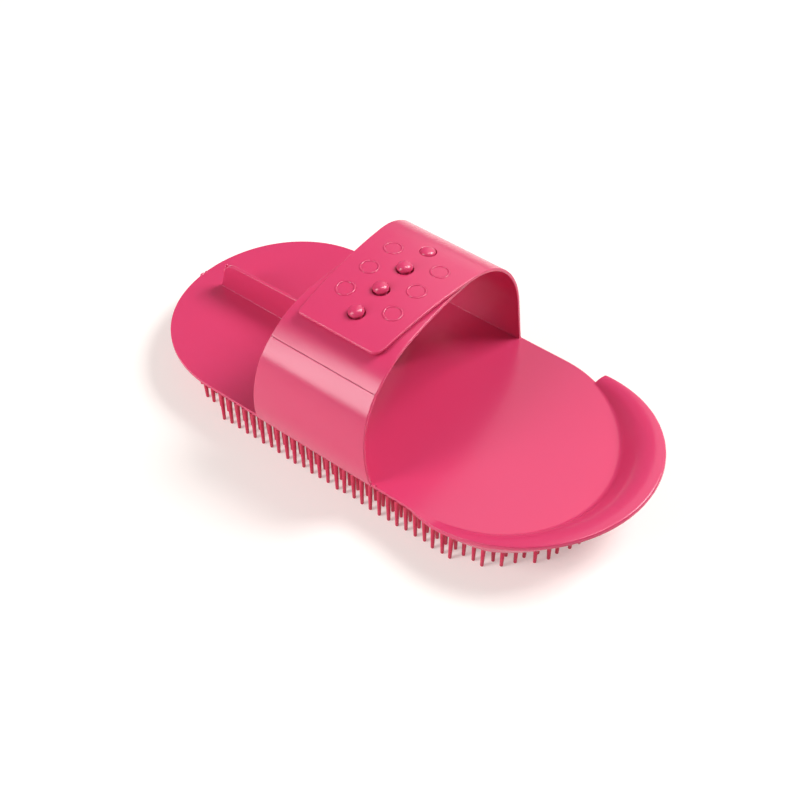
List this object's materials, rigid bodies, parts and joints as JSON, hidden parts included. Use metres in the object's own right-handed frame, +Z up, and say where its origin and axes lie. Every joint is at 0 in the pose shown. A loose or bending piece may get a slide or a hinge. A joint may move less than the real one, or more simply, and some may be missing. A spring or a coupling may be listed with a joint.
{
  "type": "plastic curry comb",
  "caption": "Oval moulded plastic grooming mitt with a toothed underside, a raised front lip, an upright rib and a two-part hand strap that buttons over studs.",
  "frame": {"origin": "on the table under the middle of the part's outline, at the level of the tooth tips", "axes": "+X along the plate towards the raised lip, +Y across it towards the strap half with the holes, +Z up from the table"},
  "size_m": [0.206, 0.0957, 0.0658],
  "materials": {
    "plate": "satin-gloss raspberry pink moulded plastic",
    "strap": "satin-gloss raspberry pink moulded plastic",
    "studs": "glossy raspberry pink moulded plastic",
    "teeth": "satin raspberry pink moulded plastic"
  },
  "bodies": {
    "base": {"base_plate": "plate", "front_lip": "plate", "hand_rib": "plate", "tooth_row_01": "teeth", "tooth_row_02": "teeth", "tooth_row_03": "teeth", "tooth_row_04": "teeth", "tooth_row_05": "teeth", "tooth_row_06": "teeth", "tooth_row_07": "teeth", "tooth_row_08": "teeth", "tooth_row_09": "teeth", "tooth_row_10": "teeth", "tooth_row_11": "teeth", "tooth_row_12": "teeth", "tooth_row_13": "teeth", "tooth_row_14": "teeth", "tooth_row_15": "teeth", "tooth_row_16": "teeth", "tooth_row_17": "teeth", "tooth_row_18": "teeth", "tooth_row_19": "teeth", "tooth_row_20": "teeth", "tooth_row_21": "teeth", "tooth_row_22": "teeth", "tooth_row_23": "teeth"},
    "near_wall": {"near_wall": "strap"},
    "tongue": {"tongue": "strap", "stud_1": "studs", "stud_2": "studs", "stud_3": "studs", "stud_4": "studs"},
    "far_wall": {"far_wall": "strap"},
    "flap": {"flap": "strap"}
  },
  "joints": [
    {"name": "near_root_swing", "type": "hinge", "parent": "base", "child": "near_wall", "pos_m": [-0.0058, -0.04695, 0.01505], "axis": [1, 0, 0], "range_deg": [0, 90]},
    {"name": "near_crease_bend", "type": "hinge", "parent": "near_wall", "child": "tongue", "pos_m": [-0.0058, -0.0382, 0.0518], "axis": [1, 0, 0], "range_deg": [0, 72]},
    {"name": "far_root_swing", "type": "hinge", "parent": "base", "child": "far_wall", "pos_m": [-0.0058, 0.04695, 0.01505], "axis": [-1, 0, 0], "range_deg": [0, 90]},
    {"name": "flap_peel", "type": "hinge", "parent": "far_wall", "child": "flap", "pos_m": [-0.0058, 0.027, 0.06009], "axis": [-1, 0, 0], "range_deg": [0, 90]}
  ],
  "couplings": [
    {"joint": "near_crease_bend", "follows": "near_root_swing", "ratio": 0.8}
  ]
}
